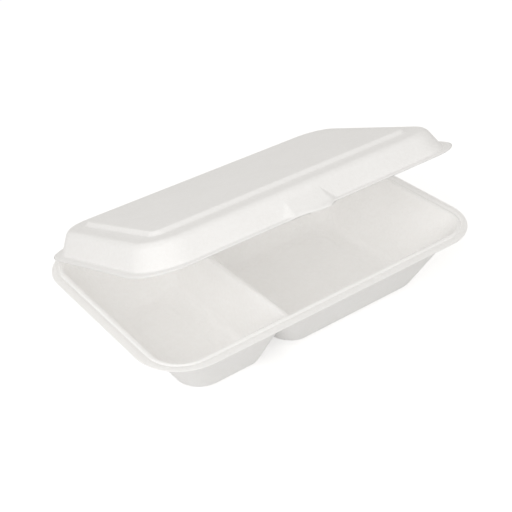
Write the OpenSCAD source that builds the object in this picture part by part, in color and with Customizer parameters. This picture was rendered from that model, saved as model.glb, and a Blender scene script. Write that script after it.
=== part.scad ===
// Pressed pulp meal box: a tray with two compartments and a lid on the back edge.
// The origin is on the table under the middle of the rim. X runs along the
// length, the lid hinges at the back (+Y), and the small compartment is at -X.
// The lid stands part open. Both pieces are thin shells of even thickness,
// lofted through rounded rectangles that follow a section from middle to edge.

/* [Box] */
// Length over the tray rim
box_l = 250; // [220:1:290]
// Depth over the tray rim, front to back
box_w = 161; // [145:1:190]
// Height of the tray rim above the table
tray_h = 45.5; // [36:0.5:60]
// Thickness of the pressed pulp
wall = 0.8; // [0.5:0.1:1]
// Plan radius of the rim's corners
rim_r = 33; // [26:1:40]

/* [Tray rim] */
// Width of the outer land of the rim
land_w = 3.5; // [3:0.1:5]
// Fall of the land to its outer edge
land_fall = 0.3; // [0:0.1:0.6]
// Width of the groove's slope inside the land
groove_w = 2.1; // [1.5:0.1:3]
// Depth of the groove below the bead
groove_d = 0.9; // [0.6:0.1:1.5]
// Rise of the bead above the land
bead_h = 0.3; // [0:0.1:0.6]
// Radius that rolls the bead into the compartment walls
bead_r = 2.2; // [1.6:0.1:3]

/* [Compartments] */
// Inset of the floor from the rim edge, at the front and the back
side_in = 30; // [24:0.5:36]
// Inset of the floor from the rim edge, at the two ends
end_in = 34; // [28:0.5:40]
// Radius between the floor and the walls
floor_r = 8; // [5:0.5:12]
// Plan radius of the compartments' corners at the mouth
mouth_r = 19; // [15:0.5:24]
// Plan radius of the compartments' corners at the floor
foot_r = 16; // [12:0.5:20]
// Distance of the divider from the middle of the box
divider_x = 32; // [15:1:45]
// Depth of the divider's ridge below the rim
divider_drop = 4.3; // [2:0.1:10]
// Lean of the divider's two faces from upright
divider_lean = 10; // [6:1:20]
// Radius over the divider's ridge
ridge_r = 1.8; // [1.6:0.1:3]
// Plan radius of the small compartment's corners at the divider's foot
small_foot_r = 9; // [6:0.5:14]
// Plan radius of the compartments' corners at the divider's ridge
ridge_end_r = 4; // [3:0.5:10]
// Rise of the stiffening panel in each floor
panel_h = 0.5; // [0.2:0.1:1]
// Margin of floor around each stiffening panel
panel_in = 5; // [3:0.5:8]

/* [Lid] */
// Opening angle of the lid
lid_open = 21.2; // [0:0.1:100]
// Step in of the lid's edge from the tray's edge, at the front
lid_step = 5.2; // [2:0.1:7]
// Step in of the lid's edge from the tray's edge, at the two ends
lid_end_step = 5.6; // [2:0.1:8]
// Height of the lid's top above its flange
lid_h = 16.6; // [12:0.1:30]
// Width of the lid's flange, at the front and the back
flange_w = 4; // [3:0.1:6]
// Width of the lid's flange, at the two ends
flange_end_w = 5.2; // [4:0.1:7]
// Height of the flange's turned down edge
lip_h = 0.95; // [0.95:0.05:1.15]
// Inset of the lid's shoulder from its edge, at the front and the back
shoulder_in = 11.5; // [9:0.5:14]
// Inset of the lid's shoulder from its edge, at the two ends
shoulder_end_in = 11.5; // [9:0.5:16]
// Radius over the lid's shoulder
shoulder_r = 6; // [3:0.5:8]
// Rise of the raised panel on the lid
top_step = 2.4; // [0.8:0.1:3]
// Inset of the raised panel from the lid's edge, at the front and the back
top_in = 30; // [24:0.5:36]
// Inset of the raised panel from the lid's edge, at the two ends
top_end_in = 25; // [22:0.5:34]
// Width of the raised panel's sloping edge
top_slope = 3.2; // [3:0.1:6]
// Plan radius of the raised panel's corners
top_r = 5; // [4:0.5:14]
// Plan radius of the lid's shoulder corners
lid_wall_r = 22; // [14:1:26]
// Running gap between the closed lid and the tray
gap = 0.3; // [0.2:0.05:0.5]

/* [Front tab] */
// Width of the tab at the front of the lid
tab_w = 25; // [20:1:40]
// Distance of the tab from the middle of the box
tab_x = -7; // [-20:1:30]
// Width at the foot of each flank that runs the tab into the lid
tab_flank = 7; // [3:0.5:9]
// Height over which the tab grows out of the lid's front wall
tab_rise = 8.5; // [6:0.5:12]
// Reach of the tab's foot out over the flange
tab_foot = 3.1; // [1.5:0.1:3.2]
// Height of the crease between the tab's foot and its lip above the flange
tab_lift = 1.6; // [0.5:0.1:2.5]
// Reach of the tab's lip out beyond the lid's edge
tab_out = 4.2; // [2:0.1:6]
// Depth of the tab's lip below the lid's turned down edge
tab_drop = 0.45; // [0.1:0.05:0.5]
// Length over which the lip runs out at the tab's right end
tab_round = 7; // [4:0.5:10]
// Length over which the lip grows from the tab's left end
tab_fade = 22; // [6:1:24]

/* [Hidden] */
// Steps round one plan corner, and round the bends of the sections
nc = 8;
pulp = [0.95, 0.94, 0.915];

// Heights of the tray's section
floor_z = wall;
land_z = tray_h;
bead_z = tray_h + bead_h;
ridge_z = tray_h - divider_drop;
// Insets of the tray's section from the rim's edge
bead_out = land_w + groove_w + groove_d;
bead_in = bead_out + 0.75 * bead_r + 0.65;

// Axis of the hinge, just behind and above the tray's back edge
hinge_z = tray_h - land_fall + 0.6 * gap;
hinge_y = box_w / 2 + gap / 2;
// Outline and heights of the lid's section, from the axis of the hinge
lid_l = box_l - 2 * lid_end_step;
lid_front = lid_step - box_w / 2 - hinge_y;
flange_z = bead_z + gap + 0.1 + wall - hinge_z;
lip_low = flange_z - lip_h;
top_z = flange_z + lid_h;
ledge_z = top_z - top_step;
lid_r = rim_r - lid_step;

// One rounded bend of a section at b, between a and c: [out, height, slope]
function bend(a, b, c, r, n) =
    let (
        d0 = atan2(b.y - a.y, b.x - a.x),
        d1 = atan2(c.y - b.y, c.x - b.x),
        turn = d1 - d0,
        k = turn < 0 ? -1 : 1,
        t = r * abs(tan(turn / 2)),
        s = [b.x - t * cos(d0), b.y - t * sin(d0)]
    )
    [for (i = [0:n])
        let (e = d0 + turn * i / n)
        [s.x + k * r * (sin(e) - sin(d0)), s.y - k * r * (cos(e) - cos(d0)), e]];

// A section through corner points [out, height, radius, steps]; the ends carry no bend
function section(p) =
    [for (i = [1:len(p) - 2]) each bend(p[i - 1], p[i], p[i + 1], p[i][2], p[i][3])];

// Straight below or inside a row of a section, by the thickness t
function sunk(row, t) = [row.x + t * sin(row.z), row.y - t * cos(row.z)];

function smooth(f) = let (g = min(1, max(0, f))) g * g * (3 - 2 * g);
function mix(a, b, f) = a + (b - a) * f;

// A quarter of a ring: centre, first angle, radius, and the heights at its two ends
function corner(cx, cy, a0, r, z0, z1) =
    [for (i = [0:nc])
        let (a = a0 + 90 * i / nc)
        [cx + r * cos(a), cy + r * sin(a), mix(z0, z1, smooth(i / nc))]];

// A ring with its own place and height on each side: [low x, high x, low y, high y]
function ring(p, z, r_low, r_high) = concat(
    corner(p[1] - r_high, p[2] + r_high, -90, r_high, z[2], z[1]),
    corner(p[1] - r_high, p[3] - r_high, 0, r_high, z[1], z[3]),
    corner(p[0] + r_low, p[3] - r_low, 90, r_low, z[3], z[0]),
    corner(p[0] + r_low, p[2] + r_low, 180, r_low, z[0], z[2]));

// Wall sections, counted outwards from the rim's edge, and the rim beyond them
function wall_path(inset) = [
    [-inset - 30, floor_z],
    [-inset, floor_z, floor_r, 6],
    [-bead_in, bead_z, bead_r, 4],
    [-bead_out, bead_z]];
rim_path = [
    [-bead_in, bead_z],
    [-bead_out, bead_z, wall + 0.3, 3],
    [-land_w - groove_w, bead_z - groove_d, 0.6 * groove_d, 3],
    [-land_w, land_z - 0.05, 1.4, 3],
    [0, land_z - land_fall]];
// Divider section, counted from inside a compartment to the ridge
ridge_turn = 90 - divider_lean;
ridge_half = ridge_r * tan(ridge_turn / 2) + 0.4;
ridge_path = [
    [-ridge_half - (ridge_z - floor_z) * tan(divider_lean) - 30, floor_z],
    [-ridge_half - (ridge_z - floor_z) * tan(divider_lean), floor_z, floor_r, 6],
    [-ridge_half, ridge_z, ridge_r, 4],
    [0, ridge_z]];
side_rows = section(wall_path(side_in));
end_rows = section(wall_path(end_in));
ridge_rows = section(ridge_path);
rim_rows = concat(section(rim_path),
    [[0, land_z - land_fall, atan2(0.05 - land_fall, land_w)]]);

// Plan radius of the tray's outer corners at an inset from the rim's edge
function plan_r(x) = lookup(x, [[-side_in, foot_r], [-bead_in, mouth_r], [0, rim_r]]);

// Rings of one compartment, from the raised panel in its floor up to its mouth.
// s is 1 for the large compartment at +X and -1 for the small one.
function cup_ring(s, k, t) =
    let (
        side = sunk(side_rows[k], t),
        end = sunk(end_rows[k], t),
        div = sunk(ridge_rows[k], t),
        e = box_l / 2 + end.x,
        w = box_w / 2 + side.x,
        f = (side_rows[k].y - floor_z) / (bead_z - floor_z),
        r_out = plan_r(side_rows[k].x) + t * sin(side_rows[k].z),
        r_div = mix(s > 0 ? foot_r : small_foot_r, ridge_end_r, f) + t * sin(ridge_rows[k].z)
    )
    s > 0
        ? ring([-divider_x - div.x, e, -w, w], [div.y, end.y, side.y, side.y], r_div, r_out)
        : ring([-e, -divider_x + div.x, -w, w], [end.y, div.y, side.y, side.y], r_out, r_div);

// The raised panel's two rings, inside the floor's own edge
function panel_ring(s, m, h, t) =
    let (
        e = box_l / 2 + end_rows[0].x - m,
        d = ridge_rows[0].x - m,
        w = box_w / 2 + side_rows[0].x - m,
        r_out = max(foot_r - m, 3),
        r_div = max((s > 0 ? foot_r : small_foot_r) - m, 3)
    )
    s > 0
        ? ring([-divider_x - d, e, -w, w], [for (i = [0:3]) floor_z + h - t], r_div, r_out)
        : ring([-e, -divider_x + d, -w, w], [for (i = [0:3]) floor_z + h - t], r_out, r_div);

function cup(s, t) = concat(
    panel_ring(s, panel_in + 2 * panel_h, panel_h, t),
    panel_ring(s, panel_in, 0, t),
    [for (k = [0:len(side_rows) - 1]) each cup_ring(s, k, t)]);

// Rings of the rim outside the compartments, with three points where the ridge ends
function rim_ring(row, t, x_low, x_high) =
    let (
        o = sunk(row, t),
        l = box_l / 2 + o.x,
        w = box_w / 2 + o.x,
        r = plan_r(row.x) + t * sin(row.z)
    )
    concat(
        corner(l - r, -w + r, -90, r, o.y, o.y),
        corner(l - r, w - r, 0, r, o.y, o.y),
        [[x_high, w, o.y], [-divider_x, w, o.y], [x_low, w, o.y]],
        corner(-l + r, w - r, 90, r, o.y, o.y),
        corner(-l + r, -w + r, 180, r, o.y, o.y),
        [[x_low, -w, o.y], [-divider_x, -w, o.y], [x_high, -w, o.y]]);

// Points of one face of the tray, t below its upper face
nq = nc + 1;
nr = 4 * nq;
rows_cup = len(side_rows) + 2;
rows_rim = len(rim_rows);
nm = nr + 6;
function tray_points(t) =
    let (
        big = cup(1, t),
        small = cup(-1, t),
        a = (rows_cup - 1) * nr,
        // the large cup's ridge side from back to front
        ridge_pts = [for (i = [2 * nq:4 * nq - 1]) big[a + i]],
        x_high = ridge_pts[0].x,
        x_low = -2 * divider_x - x_high
    )
    concat(
        big,
        small,
        [for (p = ridge_pts) [-divider_x, p.y, p.z]],
        [for (row = rim_rows) each rim_ring(row, t, x_low, x_high)]);

at_small = rows_cup * nr;
at_crest = 2 * rows_cup * nr;
at_rim = at_crest + 2 * nq;
n_tray = at_rim + rows_rim * nm;

// Bands between rings of n points, from ring i to ring i + 1, seen from above
function band(at, n, rings) =
    [for (i = [0:rings - 2], j = [0:n - 1])
        let (a = at + i * n + j, b = at + i * n + (j + 1) % n)
        each [[a, b, b + n], [a, b + n, a + n]]];
// A strip between two lists of the same length
function strip(u, v) =
    [for (i = [0:len(u) - 2])
        each [[u[i], u[i + 1], v[i + 1]], [u[i], v[i + 1], v[i]]]];

top_cup = (rows_cup - 1) * nr;
big_ridge = [for (i = [2 * nq:4 * nq - 1]) top_cup + i];
small_ridge = [for (i = [2 * nq - 1:-1:0]) at_small + top_cup + i];
crest_line = [for (i = [0:2 * nq - 1]) at_crest + i];
// The loop that the rim grows from: compartment mouths and the ends of the crest
mouth_loop = concat(
    [for (i = [0:2 * nq - 1]) top_cup + i],
    [top_cup + 2 * nq, at_crest, at_small + top_cup + 2 * nq - 1],
    [for (i = [2 * nq:4 * nq - 1]) at_small + top_cup + i],
    [at_small + top_cup, at_crest + 2 * nq - 1, top_cup + 4 * nq - 1]);
function ring_list(at, n) = [for (i = [0:n - 1]) at + i];
function closed(v) = concat(v, [v[0]]);

tray_skin = concat(
    [[for (j = [nr - 1:-1:0]) j]],
    [[for (j = [nr - 1:-1:0]) at_small + j]],
    band(0, nr, rows_cup),
    band(at_small, nr, rows_cup),
    strip(big_ridge, crest_line),
    strip(crest_line, small_ridge),
    strip(closed(mouth_loop), closed(ring_list(at_rim, nm))),
    band(at_rim, nm, rows_rim));
function flipped(faces, n) =
    [for (f = faces) [for (i = [len(f) - 1:-1:0]) f[i] + n]];
function edge_band(at, n, n_skin) =
    [for (j = [0:n - 1])
        let (a = at + j, b = at + (j + 1) % n)
        each [[a, b, b + n_skin], [a, b + n_skin, a + n_skin]]];

module tray() {
    color(pulp)
        polyhedron(
            points = concat(tray_points(0), tray_points(wall)),
            faces = concat(
                tray_skin,
                flipped(tray_skin, n_tray),
                edge_band(at_rim + (rows_rim - 1) * nm, nm, n_tray)),
            convexity = 8);
}

// The lid's section, from the raised panel to the turned down edge
lid_path = [
    [-top_in - 30, top_z],
    [-top_in, top_z, 1.8, 2],
    [-top_in + top_slope, ledge_z, 2.2, 2],
    [-shoulder_in, ledge_z, shoulder_r, 5],
    [-flange_w, flange_z, 1.2, 3],
    [-0.15, flange_z, 0.9, 3],
    [0, flange_z - 6]];
lid_rows = concat(section(lid_path), [[0, lip_low, -90]]);
rows_lid = len(lid_rows);

// The tab's flanks narrow towards the top of the tab
tab_low = tab_x - tab_w / 2;
tab_high = tab_x + tab_w / 2;
function tab_height(z) = min(1, max(0, 1 - (z - flange_z) / tab_rise));
// The lip grows slowly from the left and runs out halfway over the right flank
function lip_share(x) =
    smooth(min((x - tab_low) / tab_fade, (tab_high + tab_flank / 2 - x) / tab_round));
// Front points of a lid ring at height z: [x, share of the tab's foot, share of its lip]
function tab_marks(z) =
    let (
        flank = 1 + tab_flank * tab_height(z),
        left = [for (f = [0:4]) [tab_low - flank * (1 - f / 4), smooth(f / 4)]],
        middle = [for (i = [1:7]) [tab_low + tab_w * i / 8, 1]],
        right = [for (f = [0:4]) [tab_high + flank * f / 4, smooth(1 - f / 4)]]
    )
    [for (m = concat(left, middle, right)) [m.x, m.y, lip_share(m.x)]];
n_tab = len(tab_marks(0));
// Place of a front point: the foot comes out over the flange, and the lip flares out beyond it
function tab_point(mark, row, front, z) =
    let (
        u = min(1, max(0, 1 + row.x / flange_w)),
        foot = mark[1] * tab_height(row.y) * (1 - u),
        lip = mark[2] * u
    )
    [mark[0], front - tab_foot * foot - tab_out * lip, z + tab_lift * foot - tab_drop * lip];

// The end walls stand closer to the lid's edge than the front and back walls
end_more = [
    [-top_in, top_in - top_end_in],
    [-shoulder_in, shoulder_in - shoulder_end_in],
    [-flange_w, flange_w - flange_end_w],
    [0, 0]];

function lid_ring(k, t) =
    let (
        row = lid_rows[k],
        o = sunk(row, t),
        l = lid_l / 2 + o.x + lookup(row.x, end_more),
        front = lid_front - o.x,
        back = o.x - gap / 2,
        r = lookup(row.x, [[-top_in, top_r], [-shoulder_in, lid_wall_r], [0, lid_r]])
            + t * sin(row.z)
    )
    concat(
        [for (m = tab_marks(row.y)) tab_point(m, row, front, o.y)],
        corner(l - r, front + r, -90, r, o.y, o.y),
        corner(l - r, back - r, 0, r, o.y, o.y),
        corner(-l + r, back - r, 90, r, o.y, o.y),
        corner(-l + r, front + r, 180, r, o.y, o.y));

nl = n_tab + nr;
// The last point of each skin is the middle of the raised panel
n_lid = rows_lid * nl + 1;
lid_mid = (lid_front - gap / 2) / 2;
lid_skin = concat(
    [for (j = [0:nl - 1]) [n_lid - 1, (j + 1) % nl, j]],
    band(0, nl, rows_lid));

module lid() {
    color(pulp)
        translate([0, hinge_y, hinge_z])
            rotate([-lid_open, 0, 0])
                polyhedron(
                    points = concat(
                        [for (k = [0:rows_lid - 1]) each lid_ring(k, 0)],
                        [[0, lid_mid, top_z]],
                        [for (k = [0:rows_lid - 1]) each lid_ring(k, wall)],
                        [[0, lid_mid, top_z - wall]]),
                    faces = concat(
                        lid_skin,
                        flipped(lid_skin, n_lid),
                        edge_band((rows_lid - 1) * nl, nl, n_lid)),
                    convexity = 8);
}

tray();
lid();
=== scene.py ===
import math

import bpy
import numpy as np
from mathutils import Matrix, Vector


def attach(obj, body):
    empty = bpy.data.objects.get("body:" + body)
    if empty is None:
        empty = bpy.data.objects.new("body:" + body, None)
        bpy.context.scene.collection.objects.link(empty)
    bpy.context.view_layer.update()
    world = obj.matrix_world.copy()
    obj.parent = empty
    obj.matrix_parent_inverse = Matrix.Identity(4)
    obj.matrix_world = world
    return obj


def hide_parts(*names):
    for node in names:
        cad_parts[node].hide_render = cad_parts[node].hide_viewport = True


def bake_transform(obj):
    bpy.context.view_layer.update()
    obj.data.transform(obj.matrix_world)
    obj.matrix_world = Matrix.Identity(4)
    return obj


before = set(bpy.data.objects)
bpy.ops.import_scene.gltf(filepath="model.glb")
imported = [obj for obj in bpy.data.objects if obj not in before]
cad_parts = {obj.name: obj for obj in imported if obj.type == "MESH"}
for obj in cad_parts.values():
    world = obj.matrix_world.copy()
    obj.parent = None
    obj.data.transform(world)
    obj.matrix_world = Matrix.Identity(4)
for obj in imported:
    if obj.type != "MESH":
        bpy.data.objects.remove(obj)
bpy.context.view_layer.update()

# Sizes of the box, in millimetres, as in the solids
BOX_L, BOX_W, TRAY_H, WALL, RIM_R = 250.0, 161.0, 45.5, 0.8, 33.0
LAND_W, LAND_FALL, GROOVE_W, GROOVE_D = 3.5, 0.3, 2.1, 0.9
BEAD_H, BEAD_R = 0.3, 2.2
SIDE_IN, END_IN, FLOOR_R, MOUTH_R, FOOT_R = 30.0, 34.0, 8.0, 19.0, 16.0
DIVIDER_X, DIVIDER_DROP, DIVIDER_LEAN, RIDGE_R = 32.0, 4.3, 10.0, 1.8
SMALL_FOOT_R, RIDGE_END_R, PANEL_H, PANEL_IN = 9.0, 4.0, 0.5, 5.0
PANEL_SLOPE, PANEL_LEAST_R, RIDGE_FLAT = 4.0, 3, 0.4
LID_OPEN, LID_STEP, LID_END_STEP, LID_H = 21.2, 5.2, 5.6, 16.6
FLANGE_W, FLANGE_END_W, LIP_H = 4.0, 5.2, 0.95
SHOULDER_IN, SHOULDER_END_IN, SHOULDER_R = 11.5, 11.5, 6.0
TOP_STEP, TOP_IN, TOP_END_IN, TOP_SLOPE, TOP_R = 2.4, 30.0, 25.0, 3.2, 5.0
LID_WALL_R, GAP = 22.0, 0.3
TAB_W, TAB_X, TAB_FLANK, TAB_RISE, TAB_FOOT, TAB_LIFT = 25.0, -7.0, 7.0, 8.5, 3.1, 1.6
TAB_OUT, TAB_DROP, TAB_ROUND, TAB_FADE = 4.2, 0.45, 7.0, 22.0
FLANK_LEAST, CLOSED_MORE = 1, 0.1

FLOOR_Z = WALL
BEAD_Z = TRAY_H + BEAD_H
RIDGE_Z = TRAY_H - DIVIDER_DROP
BEAD_OUT = LAND_W + GROOVE_W + GROOVE_D
# The bead's top is wide enough for the bends on both its sides
BEAD_IN = BEAD_OUT + 0.75 * BEAD_R + 0.65
# The hinge's axis lies just above and behind the rim's back edge, and the lid is measured from it
HINGE_Z = TRAY_H - LAND_FALL + 0.6 * GAP
HINGE_Y = BOX_W / 2 + GAP / 2
LID_L = BOX_L - 2 * LID_END_STEP
LID_FRONT = LID_STEP - BOX_W / 2 - HINGE_Y
FLANGE_Z = BEAD_Z + GAP + CLOSED_MORE + WALL - HINGE_Z
LIP_LOW = FLANGE_Z - LIP_H
TOP_Z = FLANGE_Z + LID_H
LEDGE_Z = TOP_Z - TOP_STEP
LID_R = RIM_R - LID_STEP

# A section's first point lies this far back along the flat
RUN_IN = 30.0
# Steps round a plan corner, and points along a straight side
NC = 20
NS = 14
NQ = NC + 1
NR = 4 * (NQ + NS)
# Steps round a section's bends, round a pulp edge, up a wall, and down the slope of a floor's panel
TIGHT_BEND, SMALL_BEND, FINE_BEND, WIDE_BEND = 5, 6, 8, 12
EDGE_STEPS, WALL_STEPS, PANEL_STEPS = 5, 7, 7


def bend(a, b, c, r, n):
    """One rounded bend of a section at b: rows of out, height and slope."""
    d0 = math.atan2(b[1] - a[1], b[0] - a[0])
    d1 = math.atan2(c[1] - b[1], c[0] - b[0])
    k = -1 if d1 < d0 else 1
    t = r * abs(math.tan((d1 - d0) / 2))
    sx, sy = b[0] - t * math.cos(d0), b[1] - t * math.sin(d0)
    rows = []
    for i in range(n + 1):
        e = d0 + (d1 - d0) * i / n
        x = sx + k * r * (math.sin(e) - math.sin(d0))
        y = sy - k * r * (math.cos(e) - math.cos(d0))
        rows.append((x, y, e))
    return rows


def section(path, spans):
    """Bends at a path's inner corners, with extra rows on the straight spans between them."""
    rows = []
    for i in range(1, len(path) - 1):
        new = bend(path[i - 1], path[i], path[i + 1], path[i][2], path[i][3])
        if rows:
            n = spans[i - 2] if i - 2 < len(spans) else 0
            a, b = rows[-1], new[0]
            for j in range(1, n + 1):
                f = j / (n + 1)
                rows.append(tuple(a[m] + (b[m] - a[m]) * f for m in range(3)))
        rows += new
    return rows


def sunk(row, t):
    """A row's point, moved below or inside the skin by the thickness t."""
    return row[0] + t * math.sin(row[2]), row[1] - t * math.cos(row[2])


def smooth(f):
    g = min(1.0, max(0.0, f))
    return g * g * (3 - 2 * g)


def mix(a, b, f):
    return a + (b - a) * f


def corner(cx, cy, a0, r, z0, z1):
    """A quarter circle from the angle a0, with the heights at its two ends."""
    pts = []
    for i in range(NC + 1):
        a = math.radians(a0 + 90 * i / NC)
        pts.append((cx + r * math.cos(a), cy + r * math.sin(a), mix(z0, z1, smooth(i / NC))))
    return pts


def joined(parts):
    """Corner arcs in a closed loop, with points on the straight sides between them."""
    out = []
    for i, part in enumerate(parts):
        out += part
        a, b = part[-1], parts[(i + 1) % len(parts)][0]
        out += [tuple(mix(a[m], b[m], j / (NS + 1)) for m in range(3)) for j in range(1, NS + 1)]
    return out


def ring(x0, x1, y0, y1, z, r_low, r_high):
    """A rounded rectangle with a height for each side, in the order low x, high x, low y, high y."""
    return joined([
        corner(x1 - r_high, y0 + r_high, -90, r_high, z[2], z[1]),
        corner(x1 - r_high, y1 - r_high, 0, r_high, z[1], z[3]),
        corner(x0 + r_low, y1 - r_low, 90, r_low, z[3], z[0]),
        corner(x0 + r_low, y0 + r_low, 180, r_low, z[0], z[2])])


def wall_rows(inset):
    """The section of a compartment's wall, whose foot lies at the inset from the rim's edge."""
    return section([
        (-inset - RUN_IN, FLOOR_Z), (-inset, FLOOR_Z, FLOOR_R, WIDE_BEND),
        (-BEAD_IN, BEAD_Z, BEAD_R, FINE_BEND), (-BEAD_OUT, BEAD_Z)], (WALL_STEPS,))


RIDGE_HALF = RIDGE_R * math.tan(math.radians(90 - DIVIDER_LEAN) / 2) + RIDGE_FLAT
FOOT_OUT = RIDGE_HALF + (RIDGE_Z - FLOOR_Z) * math.tan(math.radians(DIVIDER_LEAN))
SIDE_ROWS = wall_rows(SIDE_IN)
END_ROWS = wall_rows(END_IN)
RIDGE_ROWS = section([
    (-FOOT_OUT - RUN_IN, FLOOR_Z), (-FOOT_OUT, FLOOR_Z, FLOOR_R, WIDE_BEND),
    (-RIDGE_HALF, RIDGE_Z, RIDGE_R, FINE_BEND), (0, RIDGE_Z)], (WALL_STEPS,))
# Radius of the pulp's rounded edges
EDGE = 0.5 * WALL
# The rim's bends, the fall at the land's inner end, and how far in from the edge the land's rows lie
BEAD_EDGE_R, GROOVE_R, LAND_R = WALL + 0.3, 0.6 * GROOVE_D, 1.4
LAND_IN_FALL = 0.05
LAND_PLACES = (2.0, 0.9, EDGE)
RIM_ROWS = section([
    (-BEAD_IN, BEAD_Z), (-BEAD_OUT, BEAD_Z, BEAD_EDGE_R, TIGHT_BEND),
    (-LAND_W - GROOVE_W, BEAD_Z - GROOVE_D, GROOVE_R, TIGHT_BEND),
    (-LAND_W, TRAY_H - LAND_IN_FALL, LAND_R, TIGHT_BEND), (0, TRAY_H - LAND_FALL)], (2, 2))
LAND_SLOPE = math.atan2(LAND_IN_FALL - LAND_FALL, LAND_W)
RIM_ROWS += [(-f, TRAY_H - LAND_FALL - f * math.tan(LAND_SLOPE), LAND_SLOPE) for f in LAND_PLACES]


def plan_r(x):
    """Plan radius of the tray's outer corners at the place x of the section."""
    return float(np.interp(x, (-SIDE_IN, -BEAD_IN, 0.0), (FOOT_R, MOUTH_R, RIM_R)))


def cup_ring(s, k, t):
    """Ring k of a compartment's wall. s is 1 for the large one and -1 for the small one."""
    side, end, div = sunk(SIDE_ROWS[k], t), sunk(END_ROWS[k], t), sunk(RIDGE_ROWS[k], t)
    e, w = BOX_L / 2 + end[0], BOX_W / 2 + side[0]
    f = (SIDE_ROWS[k][1] - FLOOR_Z) / (BEAD_Z - FLOOR_Z)
    r_out = plan_r(SIDE_ROWS[k][0]) + t * math.sin(SIDE_ROWS[k][2])
    r_div = mix(FOOT_R if s > 0 else SMALL_FOOT_R, RIDGE_END_R, f) + t * math.sin(RIDGE_ROWS[k][2])
    if s > 0:
        return ring(-DIVIDER_X - div[0], e, -w, w, (div[1], end[1], side[1], side[1]), r_div, r_out)
    return ring(-e, -DIVIDER_X + div[0], -w, w, (end[1], div[1], side[1], side[1]), r_out, r_div)


def panel_ring(s, m, h, t):
    """A ring of a floor or of its raised panel, at the margin m from the floor's edge and the height h."""
    e = BOX_L / 2 + END_ROWS[0][0] - m
    d = RIDGE_ROWS[0][0] - m
    w = BOX_W / 2 + SIDE_ROWS[0][0] - m
    r_out = max(FOOT_R - m, PANEL_LEAST_R)
    r_div = max((FOOT_R if s > 0 else SMALL_FOOT_R) - m, PANEL_LEAST_R)
    z = (FLOOR_Z + h - t,) * 4
    if s > 0:
        return ring(-DIVIDER_X - d, e, -w, w, z, r_div, r_out)
    return ring(-e, -DIVIDER_X + d, -w, w, z, r_out, r_div)


# Rings inside a floor's panel, and inside the lid's raised panel, as shares of its size
FLOOR_FILL = (0.08, 0.3, 0.55, 0.8)
LID_FILL = (0.02, 0.2, 0.4, 0.6, 0.8, 0.95)


def cup(s, t):
    """Rings of one compartment: its floor from the middle out, the panel's edge, and its walls."""
    inner = panel_ring(s, PANEL_IN + PANEL_SLOPE, PANEL_H, t)
    mid = np.mean(inner, axis=0)
    rings = [[tuple(mid + (np.array(p) - mid) * f) for p in inner] for f in FLOOR_FILL]
    rings.append(inner)
    for i in range(1, PANEL_STEPS):
        f = i / PANEL_STEPS
        rings.append(panel_ring(s, PANEL_IN + PANEL_SLOPE * (1 - f), PANEL_H * (1 - smooth(f)), t))
    rings.append(panel_ring(s, PANEL_IN, 0, t))
    rings.append(panel_ring(s, PANEL_IN / 2, 0, t))
    return rings + [cup_ring(s, k, t) for k in range(len(SIDE_ROWS))]


def rim_ring(row, t, x_low, x_high):
    """A ring of the rim, with three points at each end of the divider's ridge."""
    o = sunk(row, t)
    l, w = BOX_L / 2 + o[0], BOX_W / 2 + o[0]
    r = plan_r(row[0]) + t * math.sin(row[2])
    z = o[1]
    back = [(x, w, z) for x in (x_high, -DIVIDER_X, x_low)]
    front = [(x, -w, z) for x in (x_low, -DIVIDER_X, x_high)]
    arcs = [corner(l - r, -w + r, -90, r, z, z), corner(l - r, w - r, 0, r, z, z), back,
            corner(-l + r, w - r, 90, r, z, z), corner(-l + r, -w + r, 180, r, z, z), front]
    return joined(arcs)


def band(at, n, rings):
    """Quads between rings of n points that follow each other from index at."""
    out = []
    for i in range(rings - 1):
        for j in range(n):
            a, b = at + i * n + j, at + i * n + (j + 1) % n
            out.append((a, a + n, b + n, b))
    return out


def strip(u, v):
    """Quads between two open lines of points."""
    return [(u[i], v[i], v[i + 1], u[i + 1]) for i in range(len(u) - 1)]


def loop_faces(u, v):
    """Quads between two closed loops of points."""
    return strip(u + u[:1], v + v[:1])


def make_object(name, points, faces):
    """A smooth mesh object from points in millimetres."""
    mesh = bpy.data.meshes.new(name)
    mesh.from_pydata([tuple(c / 1000 for c in p) for p in points], [], faces)
    mesh.validate()
    mesh.polygons.foreach_set("use_smooth", [True] * len(mesh.polygons))
    mesh.update()
    obj = bpy.data.objects.new(name, mesh)
    bpy.context.collection.objects.link(obj)
    return obj


def closed_shell(name, skin_points, skin_faces, edge_loop, edge_rings):
    """A thin shell from its upper and lower skins, joined round the edge by the given rings."""
    upper, lower = skin_points(0), skin_points(WALL)
    n = len(upper)
    points = upper + lower
    faces = list(skin_faces)
    faces += [tuple(i + n for i in reversed(f)) for f in skin_faces]
    last = list(edge_loop)
    for r in edge_rings:
        new = list(range(len(points), len(points) + len(r)))
        points = points + list(r)
        faces += loop_faces(last, new)
        last = new
    faces += loop_faces(last, [i + n for i in edge_loop])
    return make_object(name, points, faces)


# Tray
ROWS_CUP = len(cup(1, 0))
AT_SMALL = ROWS_CUP * NR
AT_CREST = 2 * ROWS_CUP * NR
N_CREST = 2 * NQ + NS
# Points in one ring of the rim
NM = 6 * NS + 4 * NQ + 6
AT_RIM = AT_CREST + N_CREST
TOP_CUP = (ROWS_CUP - 1) * NR


def ridge_span(t):
    """The large compartment's ring along the divider's ridge, and the ridge's edge in x."""
    big = cup(1, t)[-1][2 * (NQ + NS):2 * (NQ + NS) + N_CREST]
    return big, big[0][0]


def tray_points(t):
    ridge, x_high = ridge_span(t)
    x_low = -2 * DIVIDER_X - x_high
    pts = [p for s in (1, -1) for r in cup(s, t) for p in r]
    pts += [(-DIVIDER_X, p[1], p[2]) for p in ridge]
    for row in RIM_ROWS:
        pts += rim_ring(row, t, x_low, x_high)
    return pts


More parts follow.
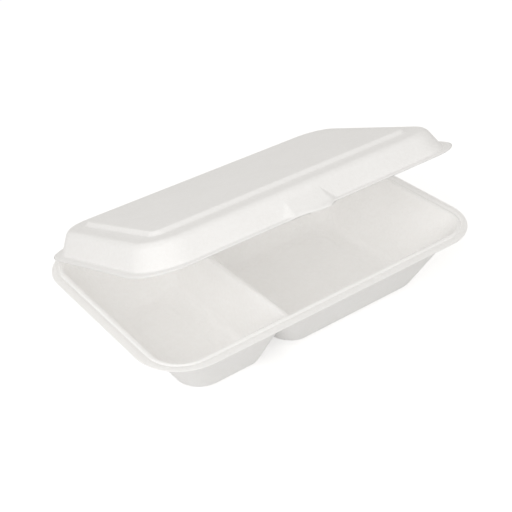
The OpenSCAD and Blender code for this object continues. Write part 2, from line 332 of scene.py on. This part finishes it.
big_ridge = [TOP_CUP + 2 * (NQ + NS) + i for i in range(N_CREST)]
small_ridge = [AT_SMALL + TOP_CUP + i for i in range(N_CREST - 1, -1, -1)]
crest = [AT_CREST + i for i in range(N_CREST)]
# The loop that the rim grows from: both mouths and the ends of the ridge's crest
SMALL_TOP = AT_SMALL + TOP_CUP
mouth = [TOP_CUP + i for i in range(2 * NQ + 2 * NS + 1)]
mouth += [AT_CREST]
mouth += [SMALL_TOP + i for i in range(2 * NQ + NS - 1, NR)]
mouth += [SMALL_TOP, AT_CREST + N_CREST - 1]
mouth += [TOP_CUP + i for i in range(NR - NS - 1, NR)]
rim0 = [AT_RIM + i for i in range(NM)]
tray_faces = [tuple(range(NR)), tuple(AT_SMALL + i for i in range(NR))]
tray_faces += band(0, NR, ROWS_CUP) + band(AT_SMALL, NR, ROWS_CUP)
tray_faces += strip(big_ridge, crest) + strip(crest, small_ridge)
tray_faces += loop_faces(mouth, rim0)
tray_faces += band(AT_RIM, NM, len(RIM_ROWS))


def edge_rows(row):
    """Points of a half-round edge past a section's last row: out and height."""
    cx, cy = sunk(row, WALL / 2)
    e, out = row[2], []
    for i in range(1, EDGE_STEPS + 1):
        b = math.pi * (0.5 - i / (EDGE_STEPS + 1))
        out.append((cx + EDGE * (math.cos(b) * math.cos(e) - math.sin(b) * math.sin(e)),
                    cy + EDGE * (math.cos(b) * math.sin(e) + math.sin(b) * math.cos(e))))
    return out


ridge_x = ridge_span(WALL / 2)[1]
edges = [rim_ring((x, z, 0), 0, -2 * DIVIDER_X - ridge_x, ridge_x) for x, z in edge_rows(RIM_ROWS[-1])]
last_rim = [AT_RIM + (len(RIM_ROWS) - 1) * NM + i for i in range(NM)]
tray = closed_shell("tray_pulp", tray_points, tray_faces, last_rim, edges)

# Lid: radii of its section's bends, the place of the lip's bend, and how far down that line points
TOP_BEND_R, LEDGE_BEND_R, FLANGE_BEND_R, LIP_BEND_R = 1.8, 2.2, 1.2, 0.9
LIP_IN, LIP_RUN = 0.15, 6
LID_ROWS = section([
    (-TOP_IN - RUN_IN, TOP_Z), (-TOP_IN, TOP_Z, TOP_BEND_R, SMALL_BEND),
    (-TOP_IN + TOP_SLOPE, LEDGE_Z, LEDGE_BEND_R, SMALL_BEND),
    (-SHOULDER_IN, LEDGE_Z, SHOULDER_R, WIDE_BEND), (-FLANGE_W, FLANGE_Z, FLANGE_BEND_R, FINE_BEND),
    (-LIP_IN, FLANGE_Z, LIP_BEND_R, SMALL_BEND), (0, FLANGE_Z - LIP_RUN)], (1, 3, 10, 3))
LID_ROWS += [(0, LIP_LOW + EDGE, -math.pi / 2)]
# Plan radius of the lid's corners, and how much further out its end walls lie than the front one
RADIUS_X, RADIUS = (-TOP_IN, -SHOULDER_IN, 0.0), (TOP_R, LID_WALL_R, LID_R)
END_X = (-TOP_IN, -SHOULDER_IN, -FLANGE_W, 0.0)
END_MORE = (TOP_IN - TOP_END_IN, SHOULDER_IN - SHOULDER_END_IN, FLANGE_W - FLANGE_END_W, 0.0)
# Ends of the tab, and the steps over its middle and over each flank
TAB_LOW, TAB_HIGH = TAB_X - TAB_W / 2, TAB_X + TAB_W / 2
TAB_STEPS, FLANK_STEPS = 32, 12


def tab_height(z):
    """Share of the tab's full reach at the height z."""
    return min(1.0, max(0.0, 1 - (z - FLANGE_Z) / TAB_RISE))


def lip_share(x):
    """The lip grows slowly from the tab's left end and runs out about halfway over the right flank."""
    return smooth(min((x - TAB_LOW) / TAB_FADE, (TAB_HIGH + TAB_FLANK / 2 - x) / TAB_ROUND))


def tab_marks(z):
    """Front points at height z: x, share of the tab's foot and share of its lip."""
    flank = FLANK_LEAST + TAB_FLANK * tab_height(z)
    shares = [f / FLANK_STEPS for f in range(FLANK_STEPS + 1)]
    marks = [(TAB_LOW - flank * (1 - f), smooth(f)) for f in shares]
    marks += [(TAB_LOW + TAB_W * i / TAB_STEPS, 1.0) for i in range(1, TAB_STEPS)]
    marks += [(TAB_HIGH + flank * f, smooth(1 - f)) for f in shares]
    return [(x, m, lip_share(x)) for x, m in marks]


def tab_point(mark, row, front, z):
    """A front point: the foot comes out over the flange, and the lip flares out beyond it."""
    u = min(1.0, max(0.0, 1 + row[0] / FLANGE_W))
    foot, lip = mark[1] * tab_height(row[1]) * (1 - u), mark[2] * u
    return mark[0], front - TAB_FOOT * foot - TAB_OUT * lip, z + TAB_LIFT * foot - TAB_DROP * lip


def lid_line(row, o, slope_r):
    """One loop of the lid at the section's point o, which belongs to row."""
    l = LID_L / 2 + o[0] + float(np.interp(row[0], END_X, END_MORE))
    front, back, z = LID_FRONT - o[0], o[0] - GAP / 2, o[1]
    r = float(np.interp(row[0], RADIUS_X, RADIUS)) + slope_r
    tab = [tab_point(m, row, front, z) for m in tab_marks(row[1])]
    return joined([tab, corner(l - r, front + r, -90, r, z, z), corner(l - r, back - r, 0, r, z, z),
                   corner(-l + r, back - r, 90, r, z, z), corner(-l + r, front + r, 180, r, z, z)])


# Points in one loop of the lid, and the number of loops
NL = len(tab_marks(0)) + 4 * NQ + 5 * NS
N_LINES = len(LID_FILL) + len(LID_ROWS)


def turned(y, z):
    """A place given from the hinge's axis, turned with the lid to where it stands part open."""
    a = math.radians(-LID_OPEN)
    return y * math.cos(a) - z * math.sin(a), y * math.sin(a) + z * math.cos(a)


def placed(pts):
    """The lid's points, from the hinge's axis to their place in the box."""
    out = []
    for x, y, z in pts:
        dy, dz = turned(y, z)
        out.append((x, HINGE_Y + dy, HINGE_Z + dz))
    return out


def lid_points(t):
    lines = [lid_line(row, sunk(row, t), t * math.sin(row[2])) for row in LID_ROWS]
    inner, mid = np.array(lines[0]), np.mean(lines[0], axis=0)
    mid[0] = 0
    fill = [[tuple(mid + (p - mid) * f) for p in inner] for f in LID_FILL]
    return [p for line in fill + lines for p in placed(line)]


lid_faces = [tuple(range(NL))] + band(0, NL, N_LINES)
last = LID_ROWS[-1]
edges = [placed(lid_line(last, o, o[0])) for o in edge_rows(last)]
lid_edge = [(N_LINES - 1) * NL + i for i in range(NL)]
lid = closed_shell("lid_pulp", lid_points, lid_faces, lid_edge, edges)

# The pressed fold between the two, a thin strip that laps a little onto both
FOLD_END = 1
FOLD_L = LID_L - 2 * LID_R - 2 * FOLD_END
FOLD_LAP, FOLD_OUTER, FOLD_INNER = 1.1, 0.75, 0.25
FOLD_STEPS, FOLD_PLACES = 15, 25


def fold_arc(r, a0, a1):
    """Points round the hinge's axis at the radius r, with angles in degrees."""
    return [(r * math.cos(a), r * math.sin(a)) for a in np.radians(np.linspace(a0, a1, FOLD_STEPS))]


def make_fold():
    """The section runs round the hinge's axis from the tray to the lid, and back nearer the axis."""
    line = [(-FOLD_LAP, -FOLD_OUTER)] + fold_arc(FOLD_OUTER, -90, 90 - LID_OPEN)
    line += [turned(-FOLD_LAP, FOLD_OUTER), turned(-FOLD_LAP, FOLD_INNER)]
    line += fold_arc(FOLD_INNER, 90 - LID_OPEN, -90) + [(-FOLD_LAP, -FOLD_INNER)]
    n = len(line)
    pts = []
    for x in np.linspace(-FOLD_L / 2, FOLD_L / 2, FOLD_PLACES):
        pts += [(x, HINGE_Y + y, HINGE_Z + z) for y, z in line]
    end = n * (FOLD_PLACES - 1)
    faces = [tuple(range(n)), tuple(range(end + n - 1, end - 1, -1))]
    return make_object("fold_pulp", pts, faces + band(0, n, FOLD_PLACES))


fold = make_fold()

# Pulp: its darker and lighter colour and where the tone reaches them, its finish, and how the noises mix
PULP_DARK, PULP_LIGHT = (0.964, 0.96, 0.954, 1), (0.991, 0.989, 0.986, 1)
DARK_AT, LIGHT_AT = 0.36, 0.62
PULP_ROUGHNESS, PULP_SHINE = 0.72, 0.3
BUMP_STRENGTH, BUMP_DEPTH = 0.6, 0.0008
BROAD_TONE, FELT_TONE = 0.3, 0.7
FELT_HEIGHT, GRAIN_HEIGHT, FIBRE_HEIGHT = 0.5, 0.3, 0.35


def pulp_material():
    """Matt white pressed pulp: mottled colour, fine felt and a few long fibres."""
    mat = bpy.data.materials.new("pulp")
    mat.use_nodes = True
    nt = mat.node_tree
    bsdf = nt.nodes["Principled BSDF"]
    bsdf.inputs["Roughness"].default_value = PULP_ROUGHNESS
    bsdf.inputs["Specular IOR Level"].default_value = PULP_SHINE
    coord = nt.nodes.new("ShaderNodeTexCoord")

    def noise(scale, detail, rough, stretch=(1, 1, 1)):
        m = nt.nodes.new("ShaderNodeMapping")
        m.inputs["Scale"].default_value = stretch
        nt.links.new(coord.outputs["Object"], m.inputs["Vector"])
        n = nt.nodes.new("ShaderNodeTexNoise")
        n.inputs["Scale"].default_value = scale
        n.inputs["Detail"].default_value = detail
        n.inputs["Roughness"].default_value = rough
        nt.links.new(m.outputs["Vector"], n.inputs["Vector"])
        return n.outputs["Fac"]

    def math_node(op, a, b):
        m = nt.nodes.new("ShaderNodeMath")
        m.operation = op
        for i, v in enumerate((a, b)):
            if isinstance(v, (int, float)):
                m.inputs[i].default_value = v
            else:
                nt.links.new(v, m.inputs[i])
        return m.outputs[0]

    # Blotches about two centimetres across, the felt, fine grain, and fibres along the box's length
    broad = noise(45, 3, 0.5)
    felt = noise(420, 4, 0.6)
    grain = noise(1500, 3, 0.7)
    fibre = noise(260, 4, 0.6, (1, 5, 3))
    tone = math_node("ADD", math_node("MULTIPLY", broad, BROAD_TONE), math_node("MULTIPLY", felt, FELT_TONE))
    ramp = nt.nodes.new("ShaderNodeValToRGB")
    ramp.color_ramp.elements[0].position = DARK_AT
    ramp.color_ramp.elements[0].color = PULP_DARK
    ramp.color_ramp.elements[1].position = LIGHT_AT
    ramp.color_ramp.elements[1].color = PULP_LIGHT
    nt.links.new(tone, ramp.inputs["Fac"])
    nt.links.new(ramp.outputs["Color"], bsdf.inputs["Base Color"])
    height = math_node("ADD", math_node("MULTIPLY", felt, FELT_HEIGHT),
                       math_node("MULTIPLY", grain, GRAIN_HEIGHT))
    height = math_node("ADD", height, math_node("MULTIPLY", fibre, FIBRE_HEIGHT))
    bump = nt.nodes.new("ShaderNodeBump")
    bump.inputs["Strength"].default_value = BUMP_STRENGTH
    bump.inputs["Distance"].default_value = BUMP_DEPTH
    nt.links.new(height, bump.inputs["Height"])
    nt.links.new(bump.outputs["Normal"], bsdf.inputs["Normal"])
    return mat


pulp = pulp_material()
for obj in (tray, lid, fold):
    obj.data.materials.append(pulp)
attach(tray, "tray")
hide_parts("tray")
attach(lid, "lid")
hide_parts("lid")
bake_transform(fold)

# Floor and room: both are white to the camera, and the floor keeps the box's soft shadow
FLOOR_SIZE, FLOOR_COLOUR, FLOOR_GLOW = 8, (0.8, 0.8, 0.8, 1), 0.45
ROOM_LEVEL, ROOM_TINT = 0.68, (1, 0.98, 0.95, 1)
WHITE = (1, 1, 1, 1)


def make_floor():
    bpy.ops.mesh.primitive_plane_add(size=FLOOR_SIZE)
    floor = bpy.context.object
    floor.name = "floor"
    mat = bpy.data.materials.new("floor")
    mat.use_nodes = True
    nt = mat.node_tree
    bsdf = nt.nodes["Principled BSDF"]
    bsdf.inputs["Base Color"].default_value = FLOOR_COLOUR
    bsdf.inputs["Roughness"].default_value = 1
    bsdf.inputs["Specular IOR Level"].default_value = 0
    bsdf.inputs["Emission Color"].default_value = WHITE
    path = nt.nodes.new("ShaderNodeLightPath")
    gain = nt.nodes.new("ShaderNodeMath")
    gain.operation = "MULTIPLY"
    gain.inputs[1].default_value = FLOOR_GLOW
    nt.links.new(path.outputs["Is Camera Ray"], gain.inputs[0])
    nt.links.new(gain.outputs[0], bsdf.inputs["Emission Strength"])
    floor.data.materials.append(mat)
    return floor


def make_room():
    world = bpy.data.worlds.new("room")
    bpy.context.scene.world = world
    world.use_nodes = True
    nt = world.node_tree
    back = nt.nodes["Background"]
    path = nt.nodes.new("ShaderNodeLightPath")
    tint = nt.nodes.new("ShaderNodeMix")
    tint.data_type = "RGBA"
    tint.inputs["A"].default_value = ROOM_TINT
    tint.inputs["B"].default_value = WHITE
    nt.links.new(path.outputs["Is Camera Ray"], tint.inputs["Factor"])
    nt.links.new(tint.outputs["Result"], back.inputs["Color"])
    level = nt.nodes.new("ShaderNodeMapRange")
    level.inputs["To Min"].default_value = ROOM_LEVEL
    level.inputs["To Max"].default_value = 1.0
    nt.links.new(path.outputs["Is Camera Ray"], level.inputs["Value"])
    nt.links.new(level.outputs["Result"], back.inputs["Strength"])


floor = make_floor()
make_room()

# Key lamp: a broad soft disk to the front left, in metres and watts
KEY_PLACE, KEY_TARGET, KEY_SIZE, KEY_POWER = Vector((-0.78, -0.66, 0.70)), Vector((0, 0, 0.04)), 1.1, 4.9
light = bpy.data.lights.new("key", "AREA")
light.shape = "DISK"
light.size = KEY_SIZE
light.energy = KEY_POWER
key = bpy.data.objects.new("key", light)
bpy.context.collection.objects.link(key)
key.location = KEY_PLACE
key.rotation_euler = (KEY_TARGET - KEY_PLACE).to_track_quat("-Z", "Y").to_euler()

# Camera: angles in degrees, distance and target in millimetres, focal length in pixels
CAM_AZIMUTH, CAM_ELEVATION, CAM_ROLL = -34.355, 33.539, -3.631
CAM_DISTANCE, CAM_TARGET = 685.99, Vector((0.98, 9.94, 30.0))
FOCAL_PX, FRAME_PX, SENSOR_MM = 1028.63, 512, 36


def camera_axes():
    """The camera's right, up and backward directions."""
    az, el, roll = (math.radians(a) for a in (CAM_AZIMUTH, CAM_ELEVATION, CAM_ROLL))
    backward = Vector((math.sin(az) * math.cos(el), -math.cos(az) * math.cos(el), math.sin(el)))
    right = Vector((math.cos(az), math.sin(az), 0))
    up = backward.cross(right)
    return (right * math.cos(roll) + up * math.sin(roll),
            up * math.cos(roll) - right * math.sin(roll),
            backward)


axes = camera_axes()
place = (CAM_TARGET + axes[2] * CAM_DISTANCE) / 1000
cam = bpy.data.cameras.new("camera")
cam.sensor_width = SENSOR_MM
cam.lens = FOCAL_PX * SENSOR_MM / FRAME_PX
cam_obj = bpy.data.objects.new("camera", cam)
bpy.context.collection.objects.link(cam_obj)
rows = [(axes[0][i], axes[1][i], axes[2][i], place[i]) for i in range(3)]
cam_obj.matrix_world = Matrix(rows + [(0, 0, 0, 1)])
scene = bpy.context.scene
scene.camera = cam_obj
scene.view_settings.view_transform = "Standard"
# Light reaches the bottom of a white box only after many bounces
LIGHT_BOUNCES = 24
scene.cycles.max_bounces = LIGHT_BOUNCES
scene.cycles.diffuse_bounces = LIGHT_BOUNCES
